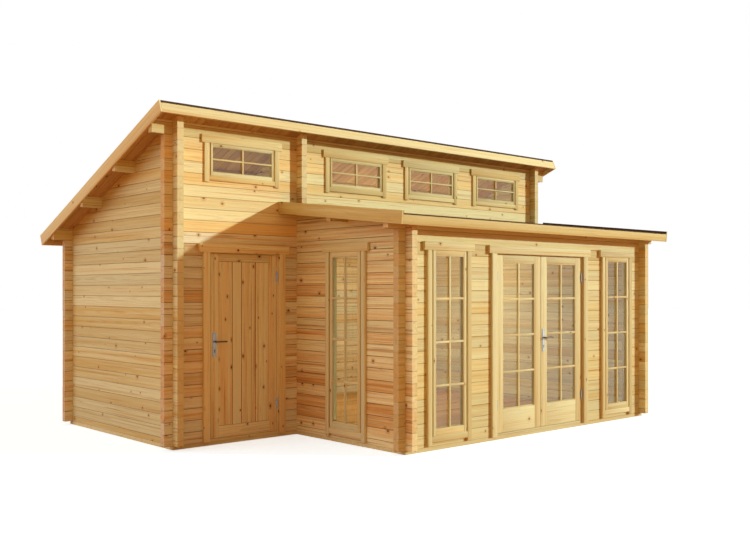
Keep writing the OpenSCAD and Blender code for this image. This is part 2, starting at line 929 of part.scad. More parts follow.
// Half of a hinge that turns with the leaf
module hinge_sleeve(leaf_side) {
    half = barrel_l / 2;
    difference() {
        union() {
            cylinder(r = barrel_r, h = half);
            translate([0, 0, half / 2])
                shank(leaf_side, shank_r, shank_l);
        }
        translate([0, 0, -1])
            cylinder(r = pin_r + pin_clearance, h = half + 2);
    }
}

// Bores for the sleeve shanks in a leaf
module sleeve_bores(x, leaf_side) {
    each_hinge(x)
        translate([0, 0, barrel_l / 4])
            shank(leaf_side, shank_r + pin_clearance, shank_l + 1);
}

module lever_bore(x) {
    translate([x, -grip_out, lever_z])
        rotate([-90, 0, 0])
            cylinder(r = spindle_r + pin_clearance, h = leaf_t + 2 * grip_out);
}

// Plates on both faces of a leaf
module handle_plates(x) {
    low = lever_z - plate_drop - plate_h / 2;
    difference() {
        for (y = [-plate_t - fit_gap, leaf_t + fit_gap])
            block([x - plate_w / 2, y, low], [x + plate_w / 2, y + plate_t, low + plate_h]);
        lever_bore(x);
    }
}

// Spindle with a grip on each face, both pointing to +x
module lever(x) {
    translate([x, -grip_out, lever_z])
        rotate([-90, 0, 0])
            cylinder(r = spindle_r, h = leaf_t + 2 * grip_out);
    for (y = [-grip_out, leaf_t + grip_out])
        translate([x, y, lever_z]) {
            sphere(r = spindle_r);
            rotate([0, 90, 0])
                cylinder(r = grip_r, h = grip_l);
            translate([grip_l, 0, 0])
                sphere(r = grip_r);
        }
}

// Storage door, hinged on its right
storage_x0 = -storage_leaf_w / 2;
storage_axis = storage_leaf_w / 2 + leaf_gap / 2;
storage_lever_x = storage_x0 + lever_inset;

module storage_door_frame() {
    color(pine)
        block_face(storage_door_x)
            door_frame(storage_open_w, [1]);
}

module storage_door_leaf() {
    color(pine)
        block_face(storage_door_x)
            difference() {
                leaf_frame(storage_x0, storage_leaf_w, storage_stile_w, top_rail, bottom_rail);
                sleeve_bores(storage_axis, -1);
                lever_bore(storage_lever_x);
            }
}

module storage_door_panel() {
    color(pine)
        block_face(storage_door_x)
            leaf_infill(storage_x0, storage_leaf_w, storage_stile_w, top_rail, bottom_rail, panel_t);
}

module storage_door_plates() {
    color(steel)
        block_face(storage_door_x)
            handle_plates(storage_lever_x);
}

module storage_door_lever() {
    color(steel)
        block_face(storage_door_x)
            lever(storage_lever_x);
}

module storage_door_sleeves() {
    color(steel)
        block_face(storage_door_x)
            each_hinge(storage_axis)
                hinge_sleeve(-1);
}

// Garden doors, hinged on their outer edges
garden_axis = garden_open_w / 2 - leaf_gap / 2;
left_x0 = -garden_open_w / 2 + leaf_gap;
right_x0 = meeting_gap / 2;
garden_lever_x = right_x0 + lever_inset;

module garden_door_frame() {
    color(pale_pine)
        front_face(front_mid)
            door_frame(garden_open_w, [-1, 1]);
}

module left_garden_leaf() {
    color(pale_pine)
        front_face(front_mid)
            difference() {
                leaf_frame(left_x0, garden_leaf_w, stile_w, top_rail, kick_rail);
                sleeve_bores(-garden_axis, 1);
            }
}

module left_garden_glass() {
    color(glass_colour)
        front_face(front_mid)
            leaf_infill(left_x0, garden_leaf_w, stile_w, top_rail, kick_rail, glass_t);
}

module left_garden_sleeves() {
    color(steel)
        front_face(front_mid)
            each_hinge(-garden_axis)
                hinge_sleeve(1);
}

module right_garden_leaf() {
    color(pale_pine)
        front_face(front_mid)
            difference() {
                leaf_frame(right_x0, garden_leaf_w, stile_w, top_rail, kick_rail);
                sleeve_bores(garden_axis, -1);
                lever_bore(garden_lever_x);
            }
}

module right_garden_glass() {
    color(glass_colour)
        front_face(front_mid)
            leaf_infill(right_x0, garden_leaf_w, stile_w, top_rail, kick_rail, glass_t);
}

module right_garden_plates() {
    color(steel)
        front_face(front_mid)
            handle_plates(garden_lever_x);
}

module right_garden_lever() {
    color(steel)
        front_face(front_mid)
            lever(garden_lever_x);
}

module right_garden_sleeves() {
    color(steel)
        front_face(front_mid)
            each_hinge(garden_axis)
                hinge_sleeve(-1);
}

module hinge_pins() {
    color(steel) {
        block_face(storage_door_x)
            each_hinge(storage_axis)
                hinge_pin(1);
        front_face(front_mid) {
            each_hinge(-garden_axis)
                hinge_pin(-1);
            each_hinge(garden_axis)
                hinge_pin(1);
        }
    }
}

cabin() foundation_beams();
cabin() floor_joists();
cabin() storage_floor();
cabin() garden_room_floor();
cabin() left_wall();
cabin() back_wall();
cabin() right_wall();
cabin() dividing_wall();
cabin() storage_front_wall();
cabin() clerestory_wall();
cabin() garden_front_wall();
cabin() upper_purlins();
cabin() upper_roof_deck();
cabin() upper_roof_felt();
cabin() upper_fascias();
cabin() upper_barge_boards();
cabin() lower_purlins();
cabin() lower_roof_deck();
cabin() lower_roof_felt();
cabin() lower_fascia();
cabin() lower_barge_boards();
cabin() clerestory_window_frames();
cabin() clerestory_window_sashes();
cabin() clerestory_window_glass();
cabin() tall_window_frames();
cabin() tall_window_sashes();
cabin() tall_window_glass();
cabin() storage_door_frame();
cabin() storage_door_leaf();
cabin() storage_door_panel();
cabin() storage_door_plates();
cabin() storage_door_lever();
cabin() storage_door_sleeves();
cabin() garden_door_frame();
cabin() left_garden_leaf();
cabin() left_garden_glass();
cabin() left_garden_sleeves();
cabin() right_garden_leaf();
cabin() right_garden_glass();
cabin() right_garden_plates();
cabin() right_garden_lever();
cabin() right_garden_sleeves();
cabin() hinge_pins();
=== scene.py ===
import math

import bpy
from mathutils import Matrix, Vector


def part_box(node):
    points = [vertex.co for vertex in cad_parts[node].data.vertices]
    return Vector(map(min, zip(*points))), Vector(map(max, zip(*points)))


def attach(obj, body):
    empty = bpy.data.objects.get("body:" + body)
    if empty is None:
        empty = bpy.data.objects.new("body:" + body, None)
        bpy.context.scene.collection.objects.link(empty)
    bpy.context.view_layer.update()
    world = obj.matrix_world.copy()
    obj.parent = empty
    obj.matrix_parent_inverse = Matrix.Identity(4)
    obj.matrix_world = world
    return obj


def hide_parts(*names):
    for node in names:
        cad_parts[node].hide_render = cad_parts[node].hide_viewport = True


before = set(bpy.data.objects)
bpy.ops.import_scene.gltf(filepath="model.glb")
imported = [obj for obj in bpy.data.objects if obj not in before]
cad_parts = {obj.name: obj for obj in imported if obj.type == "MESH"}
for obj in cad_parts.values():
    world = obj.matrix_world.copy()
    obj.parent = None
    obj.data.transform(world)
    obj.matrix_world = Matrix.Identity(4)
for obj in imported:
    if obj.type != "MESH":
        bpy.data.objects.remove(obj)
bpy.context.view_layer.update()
print("log cabin frame:", len(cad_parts), "pieces from the construction")


# Places taken from the frame

solids = {"weldDigits": 4, "sortDigits": 3}      # decimals of a metre


def solidBoxes(nodeName, turn=0.0):
    # corners of each separate solid in a node, measured with the roof laid level by turning it back
    level = Matrix.Rotation(-turn, 4, "X")
    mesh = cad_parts[nodeName].data
    corners = [level @ v.co for v in mesh.vertices]
    keys = [tuple(round(c, solids["weldDigits"]) for c in corner) for corner in corners]
    leader = {key: key for key in keys}

    def find(key):
        while leader[key] != key:
            leader[key] = leader[leader[key]]
            key = leader[key]
        return key

    for face in mesh.polygons:
        first = find(keys[face.vertices[0]])
        for index in face.vertices[1:]:
            leader[find(keys[index])] = first
    groups = {}
    for key, corner in zip(keys, corners):
        groups.setdefault(find(key), []).append(corner)
    boxes = []
    for points in groups.values():
        low = Vector([min(p[i] for p in points) for i in range(3)])
        high = Vector([max(p[i] for p in points) for i in range(3)])
        boxes.append((low, high))
    return sorted(boxes, key=lambda b: tuple(round(c, solids["sortDigits"]) for c in (*b[0], *b[1])))


def roofTurn(nodeName):
    # angle about X that lifts a level roof to its pitch, from the largest face that looks up
    upward = [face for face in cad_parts[nodeName].data.polygons if face.normal.z > 0]
    slope = max(upward, key=lambda face: face.area)
    return -math.atan2(slope.normal.y, slope.normal.z)


upperTurn = roofTurn("upper_roof_deck")
lowerTurn = roofTurn("lower_roof_deck")


# Node helpers

def addNode(tree, kind, inputs=None, **settings):
    made = tree.nodes.new(kind)
    for key, value in settings.items():
        setattr(made, key, value)
    for key, value in (inputs or {}).items():
        if isinstance(value, bpy.types.NodeSocket):
            tree.links.new(value, made.inputs[key])
        else:
            made.inputs[key].default_value = value
    return made


def calc(tree, operation, a, b=0.0, c=0.0):
    return addNode(tree, "ShaderNodeMath", {0: a, 1: b, 2: c}, operation=operation).outputs[0]


def ramp(tree, value, fromLow, fromHigh, toLow=0.0, toHigh=1.0):
    limits = {"Value": value, "From Min": fromLow, "From Max": fromHigh, "To Min": toLow, "To Max": toHigh}
    made = addNode(tree, "ShaderNodeMapRange", limits, interpolation_type="SMOOTHSTEP")
    return made.outputs["Result"]


def blendColours(tree, factor, a, b):
    made = addNode(tree, "ShaderNodeMix", {"Factor": factor}, data_type="RGBA")
    for socket, value in ((made.inputs[6], a), (made.inputs[7], b)):      # its two colour sockets
        if isinstance(value, bpy.types.NodeSocket):
            tree.links.new(value, socket)
        else:
            socket.default_value = value
    return made.outputs[2]


def combine(tree, x, y, z):
    return addNode(tree, "ShaderNodeCombineXYZ", {0: x, 1: y, 2: z}).outputs[0]


cloudReach = (0.2, 0.8)      # values that a cloud mostly takes


def cloud(tree, vector, scale, detail, roughness=0.5):
    made = addNode(tree, "ShaderNodeTexNoise", {"Vector": vector, "Scale": scale, "Detail": detail,
                                                "Roughness": roughness})
    return made.outputs[0]


def rgb(red, green, blue):
    # colour given as it looks on a screen, 0 to 255
    def linear(value):
        share = value / 255
        return share / 12.92 if share <= 0.04045 else ((share + 0.055) / 1.055) ** 2.4
    return (linear(red), linear(green), linear(blue), 1.0)


def newGroup(name, inputs, outputs):
    tree = bpy.data.node_groups.new(name, "ShaderNodeTree")
    for socketName, kind in inputs:
        tree.interface.new_socket(name=socketName, in_out="INPUT", socket_type=kind)
    for socketName, kind in outputs:
        tree.interface.new_socket(name=socketName, in_out="OUTPUT", socket_type=kind)
    return tree, tree.nodes.new("NodeGroupInput").outputs, tree.nodes.new("NodeGroupOutput").inputs


floatSocket, vectorSocket, colourSocket = "NodeSocketFloat", "NodeSocketVector", "NodeSocketColor"


# Shared effects

grain = {
    "seedShift": (53.0, 19.0, 7.0),     # how far a seed moves the pattern each way
    "knotSpacing": 0.14,                # metres between places where a knot may sit
    "knotLength": 1.7,                  # along the grain, for each unit across it
    "knotTurn": 0.73,                   # sets the knots of two faces apart
    "knotSmall": 0.0035,
    "knotSpread": 0.006,
    "knotEdge": (0.65, 1.1),            # knot radii over which its colour ends
    "haloReach": (0.8, 3.4),            # knot radii over which the grain bends
    "haloPush": 0.012,
    "haloTint": 0.4,
    "ringsPerMetre": 105,
    "ringFold": (0.11, 0.09),
    "ringWobble": 0.05,
    "ringTint": 0.14,
    "seedWarmth": 0.95,                 # how much warmer the warmest board is than the palest
    "warmthStart": -0.075,              # warmth of the palest board
    "bandWarmth": 2.4,                  # heartwood and sapwood within a board
    "streakWarmth": 1.1,
    "valueSpread": 0.16,                # lightest board against the darkest
    "roughness": (0.5, 0.64),
}
grainClouds = {                         # stretch along and across the grain, scale, detail, roughness
    "bands": (0.12, 8.0, 4.0, 3.0, 0.55),
    "streaks": (0.3, 26.0, 4.0, 4.0, 0.6),
    "fibres": (5.0, 150.0, 4.0, 2.0, 0.5),
    "broad": (0.5, 2.5, 2.0, 2.0, 0.5),
}
darkLines = {                           # where a pattern starts to darken and where it ends, and how much
    "streaks": (0.47, 0.3, 0.5),
    "bands": (0.58, 0.72, 0.3),
    "fibres": (0.5, 0.3, 0.15),
}
relief = {"rings": -0.25, "fibres": 0.4, "streaks": 0.35, "knots": -0.4}


def makePineGrain():
    # wood that runs along X: rings round a pith, streaks, fibres and knots, new for every seed
    tree, given, result = newGroup(
        "pineGrain",
        [("Grain", vectorSocket), ("Seed", floatSocket), ("Pale", colourSocket), ("Warm", colourSocket),
         ("Dark", colourSocket), ("Knot", colourSocket), ("Knots", floatSocket)],
        [("Color", colourSocket), ("Height", floatSocket), ("Roughness", floatSocket)])
    seed = given["Seed"]
    shift = combine(tree, *(calc(tree, "MULTIPLY", seed, far) for far in grain["seedShift"]))
    moved = addNode(tree, "ShaderNodeVectorMath", {0: given["Grain"], 1: shift}, operation="ADD").outputs[0]
    along, across, up = addNode(tree, "ShaderNodeSeparateXYZ", {0: moved}).outputs

    # knots, and the halo where the grain bends round them
    face = calc(tree, "MULTIPLY_ADD", up, grain["knotTurn"], across)
    knotPlace = combine(tree, calc(tree, "DIVIDE", along, grain["knotLength"]), face, 0.0)
    knots = addNode(tree, "ShaderNodeTexVoronoi", {"Vector": knotPlace, "Scale": 1 / grain["knotSpacing"]},
                    voronoi_dimensions="2D")
    picks = addNode(tree, "ShaderNodeSeparateColor", {0: knots.outputs["Color"]}).outputs
    present = calc(tree, "LESS_THAN", picks[0], given["Knots"])
    radius = calc(tree, "MULTIPLY_ADD", picks[1], grain["knotSpread"], grain["knotSmall"])
    distance = calc(tree, "MULTIPLY", knots.outputs["Distance"], grain["knotSpacing"])
    share = calc(tree, "DIVIDE", distance, radius)
    core = calc(tree, "MULTIPLY", ramp(tree, share, *grain["knotEdge"], 1.0, 0.0), present)
    halo = calc(tree, "MULTIPLY", ramp(tree, share, *grain["haloReach"], 1.0, 0.0), present)
    bentAcross = calc(tree, "MULTIPLY_ADD", halo, grain["haloPush"], across)
    bentUp = calc(tree, "MULTIPLY_ADD", halo, grain["haloPush"], up)

    # long clouds, and rings round a pith that is folded back and forth
    patterns = {}
    for name, (length, width, scale, detail, roughness) in grainClouds.items():
        stretched = combine(tree, calc(tree, "MULTIPLY", along, length),
                            calc(tree, "MULTIPLY", bentAcross, width), calc(tree, "MULTIPLY", bentUp, width))
        patterns[name] = cloud(tree, stretched, scale, detail, roughness)
    foldA, foldB = grain["ringFold"]
    sideA = calc(tree, "PINGPONG", bentAcross, foldA)
    sideB = calc(tree, "PINGPONG", bentUp, foldB)
    squares = calc(tree, "ADD", calc(tree, "MULTIPLY", sideA, sideA), calc(tree, "MULTIPLY", sideB, sideB))
    wobble = calc(tree, "MULTIPLY_ADD", patterns["broad"], grain["ringWobble"], calc(tree, "SQRT", squares))
    phase = calc(tree, "MULTIPLY", wobble, 2 * math.pi * grain["ringsPerMetre"])
    patterns["rings"] = ramp(tree, calc(tree, "SINE", phase), 0.0, 1.0)

    # colour
    warmth = calc(tree, "MULTIPLY_ADD", seed, grain["seedWarmth"], grain["warmthStart"])
    for name, weight in (("bands", grain["bandWarmth"]), ("streaks", grain["streakWarmth"])):
        warmth = calc(tree, "MULTIPLY_ADD", calc(tree, "SUBTRACT", patterns[name], 0.5), weight, warmth)
    clamped = addNode(tree, "ShaderNodeClamp", {"Value": warmth}).outputs[0]
    colour = blendColours(tree, clamped, given["Pale"], given["Warm"])
    lines = calc(tree, "MULTIPLY", patterns["rings"], grain["ringTint"])
    for name, (start, end, weight) in darkLines.items():
        lines = calc(tree, "MULTIPLY_ADD", ramp(tree, patterns[name], start, end), weight, lines)
    colour = blendColours(tree, lines, colour, given["Dark"])
    colour = blendColours(tree, calc(tree, "MULTIPLY", halo, grain["haloTint"]), colour, given["Dark"])
    colour = blendColours(tree, core, colour, given["Knot"])
    picked = addNode(tree, "ShaderNodeTexWhiteNoise", {"W": seed}, noise_dimensions="1D").outputs["Value"]
    value = calc(tree, "MULTIPLY_ADD", picked, grain["valueSpread"], 1 - grain["valueSpread"])
    shaded = addNode(tree, "ShaderNodeHueSaturation", {"Value": value, "Color": colour})
    tree.links.new(shaded.outputs[0], result["Color"])

    # relief and gloss
    patterns["knots"] = core
    height = 0.0
    for name, weight in relief.items():
        height = calc(tree, "MULTIPLY_ADD", patterns[name], weight, height)
    tree.links.new(height, result["Height"])
    tree.links.new(ramp(tree, patterns["streaks"], *cloudReach, *grain["roughness"]), result["Roughness"])
    return tree


jointLine = {"full": 0.001, "none": 0.0045}      # metres from the joint between two logs


def makeCourseMarks():
    # which log a height falls in, as a seed, and how near it is to the joint between two logs
    tree, given, result = newGroup(
        "courseMarks",
        [("Height", floatSocket), ("Start", floatSocket), ("Course", floatSocket), ("Wall", floatSocket)],
        [("Seed", floatSocket), ("Joint", floatSocket)])
    place = calc(tree, "DIVIDE", calc(tree, "SUBTRACT", given["Height"], given["Start"]), given["Course"])
    index = calc(tree, "FLOOR", place)
    inside = calc(tree, "SUBTRACT", place, index)
    edge = calc(tree, "MINIMUM", inside, calc(tree, "SUBTRACT", 1.0, inside))
    metres = calc(tree, "MULTIPLY", edge, given["Course"])
    tree.links.new(ramp(tree, metres, jointLine["full"], jointLine["none"], 1.0, 0.0), result["Joint"])
    picked = addNode(tree, "ShaderNodeTexWhiteNoise", {"Vector": combine(tree, index, given["Wall"], 0.0)},
                     noise_dimensions="2D")
    tree.links.new(picked.outputs["Value"], result["Seed"])
    return tree


specklePatch = (2.5, 5.0, 0.6)      # scale, detail, roughness


def makeSpeckle():
    # fine grains over slow patches
    tree, given, result = newGroup(
        "speckle", [("Place", vectorSocket), ("Grains", floatSocket)],
        [("Fine", floatSocket), ("Patch", floatSocket)])
    grains = addNode(tree, "ShaderNodeTexVoronoi", {"Vector": given["Place"], "Scale": given["Grains"]})
    picks = addNode(tree, "ShaderNodeSeparateColor", {0: grains.outputs["Color"]}).outputs
    tree.links.new(picks[0], result["Fine"])
    tree.links.new(cloud(tree, given["Place"], *specklePatch), result["Patch"])
    return tree


pineGrain = makePineGrain()
courseMarks = makeCourseMarks()
speckle = makeSpeckle()


# Materials

def startMaterial(name):
    material = bpy.data.materials.new(name)
    material.use_nodes = True
    tree = material.node_tree
    tree.nodes.clear()
    shader = tree.nodes.new("ShaderNodeBsdfPrincipled")
    output = tree.nodes.new("ShaderNodeOutputMaterial")
    tree.links.new(shader.outputs[0], output.inputs["Surface"])
    return material, tree, shader


def bumpFrom(tree, shader, height, distance, strength):
    bump = addNode(tree, "ShaderNodeBump", {"Height": height, "Distance": distance, "Strength": strength})
    tree.links.new(bump.outputs[0], shader.inputs["Normal"])


pineTones = {
    "log": {"Pale": rgb(243, 239, 188), "Warm": rgb(226, 200, 127), "Dark": rgb(188, 133, 66),
            "Knot": rgb(158, 92, 30), "Knots": 0.3},
    # a lighter copy of the log tone for a wall in sun: painted light
    "sunny": {"Pale": rgb(255, 241, 182), "Warm": rgb(251, 214, 138), "Dark": rgb(208, 140, 68),
              "Knot": rgb(164, 98, 36), "Knots": 0.25},
    "front": {"Pale": rgb(238, 230, 176), "Warm": rgb(228, 203, 132), "Dark": rgb(202, 150, 80),
              "Knot": rgb(164, 98, 36), "Knots": 0.25},
    # a darker, oranger copy for the wall deep in the recess: painted shade
    "recessShade": {"Pale": rgb(255, 242, 182), "Warm": rgb(234, 174, 96), "Dark": rgb(136, 64, 16),
               "Knot": rgb(128, 64, 22), "Knots": 0.24},
    # a darker, oranger copy for walls that stand in shade: painted shade
    "shaded": {"Pale": rgb(255, 253, 220), "Warm": rgb(243, 206, 143), "Dark": rgb(148, 82, 32),
               "Knot": rgb(146, 80, 30), "Knots": 0.26},
    "joinery": {"Pale": rgb(236, 228, 176), "Warm": rgb(226, 202, 138), "Dark": rgb(202, 156, 92),
                "Knot": rgb(140, 78, 36), "Knots": 0.16},
    "smallCasing": {"Pale": rgb(238, 221, 160), "Warm": rgb(228, 195, 122), "Dark": rgb(204, 150, 82),
                    "Knot": rgb(140, 78, 36), "Knots": 0.12},
    "eaves": {"Pale": rgb(247, 236, 184), "Warm": rgb(239, 211, 147), "Dark": rgb(213, 164, 98),
              "Knot": rgb(140, 78, 36), "Knots": 0.14},
    "trim": {"Pale": rgb(230, 212, 147), "Warm": rgb(216, 186, 110), "Dark": rgb(188, 140, 73),
             "Knot": rgb(136, 74, 32), "Knots": 0.14},
    "doorCasing": {"Pale": rgb(255, 243, 190), "Warm": rgb(248, 212, 142), "Dark": rgb(208, 146, 76),
                   "Knot": rgb(104, 50, 14), "Knots": 0.4},
    # a darker, oranger copy for the door boards in the recess: painted shade
    "doorBoard": {"Pale": rgb(255, 249, 202), "Warm": rgb(248, 203, 130), "Dark": rgb(138, 74, 24),
                  "Knot": rgb(104, 50, 14), "Knots": 0.5},
    "lightBoard": {"Pale": rgb(255, 252, 214), "Warm": rgb(255, 246, 196), "Dark": rgb(248, 220, 152),
                   "Knot": rgb(120, 60, 26), "Knots": 0.15},
    # a dark tone for the faces of the grooves between the door boards: painted shade
    "groove": {"Pale": rgb(196, 128, 64), "Warm": rgb(164, 98, 44), "Dark": rgb(124, 68, 28),
               "Knot": rgb(70, 30, 12), "Knots": 0.1},
    # darker, oranger copies of pine for the roof boards seen from below: painted shade, deepest under the
    # lower roof
    "soffit": {"Pale": rgb(194, 139, 81), "Warm": rgb(180, 119, 64), "Dark": rgb(134, 78, 36),
               "Knot": rgb(70, 30, 12), "Knots": 0.25},
    "ceiling": {"Pale": rgb(213, 174, 112), "Warm": rgb(199, 152, 92), "Dark": rgb(151, 102, 56),
                "Knot": rgb(70, 30, 12), "Knots": 0.25},
    "floor": {"Pale": rgb(226, 186, 122), "Warm": rgb(204, 150, 84), "Dark": rgb(164, 104, 50),
              "Knot": rgb(84, 42, 20), "Knots": 0.3},
}
# end colour of the logs: end grain, darker on logs along X as painted shade and paler on logs along Y as
# painted light
endGrainAndPaintedLight = {
    "x": (rgb(194, 130, 65), 0.6),       # colour and most strength, by the way the logs run
    "y": (rgb(235, 213, 157), 0.8),
    "even": 0.5,                         # share of the strength that every end has
    "facing": (0.85, 0.95),              # how squarely a face looks along the log
    "jointFade": 0.5,                    # how much fainter the joints are there
}
# darker line along each joint between logs: painted shade in the groove, strongest on the walls in shade
jointShade = {"colour": rgb(108, 56, 22),
              "log": 0.5, "sunny": 0.45, "front": 0.45, "shaded": 0.8, "recessShade": 0.8}
pineFinish = {"specular": 0.15, "bumpDistance": 0.0012, "bumpStrength": 0.35}
grainOrder = {"x": (0, 1, 2), "y": (1, 0, 2), "z": (2, 0, 1)}


def pineMaterial(name, tone, axis, turn=0.0, course=None):
    # on a wall of logs, course is (start height, log height, wall number)
    material, tree, shader = startMaterial(name)
    place = tree.nodes.new("ShaderNodeTexCoord")
    vector = place.outputs["Object"]
    if turn:
        level = {"Vector": vector, "Rotation": (-turn, 0.0, 0.0)}
        vector = addNode(tree, "ShaderNodeMapping", level).outputs[0]
    parts = addNode(tree, "ShaderNodeSeparateXYZ", {0: vector}).outputs
    order = grainOrder[axis]
    wood = addNode(tree, "ShaderNodeGroup", node_tree=pineGrain)
    tree.links.new(combine(tree, *(parts[i] for i in order)), wood.inputs["Grain"])
    for key, value in pineTones[tone].items():
        wood.inputs[key].default_value = value
    colour = wood.outputs["Color"]
    if course:
        start, height, wall = course
        marks = addNode(tree, "ShaderNodeGroup", node_tree=courseMarks)
        tree.links.new(parts[2], marks.inputs["Height"])
        for key, value in (("Start", start), ("Course", height), ("Wall", wall)):
            marks.inputs[key].default_value = value
        seed = marks.outputs["Seed"]
        # log ends take that end colour, with its painted shade and painted light
        facing = addNode(tree, "ShaderNodeSeparateXYZ", {0: place.outputs["Normal"]}).outputs[order[0]]
        onEnd = ramp(tree, calc(tree, "ABSOLUTE", facing), *endGrainAndPaintedLight["facing"])
        picked = addNode(tree, "ShaderNodeTexWhiteNoise", {"W": seed}, noise_dimensions="1D").outputs["Value"]
        endColour, most = endGrainAndPaintedLight[axis]
        even = endGrainAndPaintedLight["even"] * most
        share = calc(tree, "MULTIPLY_ADD", picked, most - even, even)
        colour = blendColours(tree, calc(tree, "MULTIPLY", onEnd, share), colour, endColour)
        # painted shade along the joints, fainter on the log ends
        shade = jointShade[tone]
        fade = calc(tree, "MULTIPLY_ADD", onEnd, -endGrainAndPaintedLight["jointFade"] * shade, shade)
        joint = calc(tree, "MULTIPLY", marks.outputs["Joint"], fade)
        colour = blendColours(tree, joint, colour, jointShade["colour"])
    else:      # each board has a seed of its own
        seed = tree.nodes.new("ShaderNodeNewGeometry").outputs["Random Per Island"]
    tree.links.new(seed, wood.inputs["Seed"])
    tree.links.new(colour, shader.inputs["Base Color"])
    tree.links.new(wood.outputs["Roughness"], shader.inputs["Roughness"])
    shader.inputs["Specular IOR Level"].default_value = pineFinish["specular"]
    bumpFrom(tree, shader, wood.outputs["Height"], pineFinish["bumpDistance"], pineFinish["bumpStrength"])
    return material


def pineSet(name, tone, axes="xyz", turn=0.0):
    # one material for each way that a board may run
    return [pineMaterial(name + axis.upper(), tone, axis, turn) for axis in axes]


feltFinish = {
    "grains": 420.0, "dark": rgb(58, 40, 27), "light": rgb(104, 80, 60),
    "patch": rgb(44, 31, 22), "patchReach": (0.35, 0.7), "patchMost": 0.25,
    "strip": rgb(42, 31, 24), "stripMost": 0.4,
    "roughness": (0.82, 0.95), "specular": 0.15, "bumpDistance": 0.001, "bumpStrength": 0.5,
}


def feltMaterial():
    material, tree, shader = startMaterial("mineralFelt")
    place = tree.nodes.new("ShaderNodeTexCoord").outputs["Object"]
    dots = addNode(tree, "ShaderNodeGroup", node_tree=speckle)
    tree.links.new(place, dots.inputs["Place"])
    dots.inputs["Grains"].default_value = feltFinish["grains"]
    colour = blendColours(tree, dots.outputs["Fine"], feltFinish["dark"], feltFinish["light"])
    patches = ramp(tree, dots.outputs["Patch"], *feltFinish["patchReach"], 0.0, feltFinish["patchMost"])
    colour = blendColours(tree, patches, colour, feltFinish["patch"])
    strip = tree.nodes.new("ShaderNodeNewGeometry").outputs["Random Per Island"]
    tint = calc(tree, "MULTIPLY", strip, feltFinish["stripMost"])
    colour = blendColours(tree, tint, colour, feltFinish["strip"])
    tree.links.new(colour, shader.inputs["Base Color"])
    roughness = ramp(tree, dots.outputs["Patch"], *cloudReach, *feltFinish["roughness"])
    tree.links.new(roughness, shader.inputs["Roughness"])
    shader.inputs["Specular IOR Level"].default_value = feltFinish["specular"]
    bumpFrom(tree, shader, dots.outputs["Fine"], feltFinish["bumpDistance"], feltFinish["bumpStrength"])
    return material


steelFinish = {"brush": (900.0, 900.0, 30.0), "detail": 3.0, "roughness": (0.26, 0.42)}


def steelMaterial(name, dark, bright):
    material, tree, shader = startMaterial(name)
    place = tree.nodes.new("ShaderNodeTexCoord").outputs["Object"]
    brushed = addNode(tree, "ShaderNodeMapping", {"Vector": place, "Scale": steelFinish["brush"]}).outputs[0]
    lines = cloud(tree, brushed, 1.0, steelFinish["detail"])
    colour = blendColours(tree, lines, dark, bright)
    tree.links.new(colour, shader.inputs["Base Color"])
    tree.links.new(ramp(tree, lines, *cloudReach, *steelFinish["roughness"]), shader.inputs["Roughness"])
    shader.inputs["Metallic"].default_value = 1.0
    return material


glassFinish = {"colour": rgb(246, 246, 238), "roughness": 0.02, "bend": 1.46, "shadow": rgb(150, 148, 140)}


def glassMaterial():
    # lamps shine through, so that the rooms are lit
    material, tree, shader = startMaterial("clearGlass")
    shader.inputs["Base Color"].default_value = glassFinish["colour"]
    shader.inputs["Roughness"].default_value = glassFinish["roughness"]
    shader.inputs["IOR"].default_value = glassFinish["bend"]
    shader.inputs["Transmission Weight"].default_value = 1.0
    clear = addNode(tree, "ShaderNodeBsdfTransparent", {0: glassFinish["shadow"]})
    rays = tree.nodes.new("ShaderNodeLightPath")
    mixed = addNode(tree, "ShaderNodeMixShader", {0: rays.outputs["Is Shadow Ray"], 1: shader.outputs[0],
                                                  2: clear.outputs[0]})
    tree.links.new(mixed.outputs[0], tree.nodes["Material Output"].inputs["Surface"])
    return material


logs = {"height": 0.12, "sole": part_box("foundation_beams")[1].z}
frontStart = logs["sole"]
sideStart = logs["sole"] - logs["height"] / 2
# the sunny tone paints light and the shaded tone paints shade into these walls
frontCourses = {      # tone and wall number of the logs that run along X
    "back_wall": ("shaded", 1), "storage_front_wall": ("shaded", 9), "clerestory_wall": ("sunny", 9),
    "garden_front_wall": ("front", 3), "upper_purlins": ("log", 9), "lower_purlins": ("log", 3),
}
# the dividing wall takes the darker copy made for the recess: painted shade
sideCourses = {"left_wall": ("log", 4), "right_wall": ("log", 5), "dividing_wall": ("recessShade", 6)}

felt = feltMaterial()
steel = steelMaterial("satinSteel", rgb(142, 136, 130), rgb(184, 178, 172))
darkSteel = steelMaterial("darkSteel", rgb(74, 62, 52), rgb(112, 96, 82))
glass = glassMaterial()
joinery = pineSet("joineryPine", "joinery")
smallCasing = pineSet("smallCasingPine", "smallCasing")
doorCasing = pineSet("doorCasingPine", "doorCasing")
# the storage door boards take the darker copy: painted shade
doorPine = pineSet("doorPine", "doorBoard")
lightBoard = pineMaterial("lightBoardPine", "lightBoard", "z")
grooveShade = pineMaterial("grooveShadePine", "groove", "z")
floorPine = pineMaterial("floorPine", "floor", "x")
beamPine = pineMaterial("beamPine", "joinery", "x")
# the roof boards take the darkened tones: painted shade under the roofs
upperBoards = pineMaterial("upperRoofPine", "ceiling", "y", upperTurn)
lowerBoards = pineMaterial("lowerRoofPine", "soffit", "y", lowerTurn)
upperTrim = pineSet("upperTrimPine", "eaves", "xy", upperTurn)
lowerTrim = pineSet("lowerTrimPine", "trim", "xy", lowerTurn)


def dress(nodeName, material):
    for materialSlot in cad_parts[nodeName].material_slots:
        materialSlot.material = material


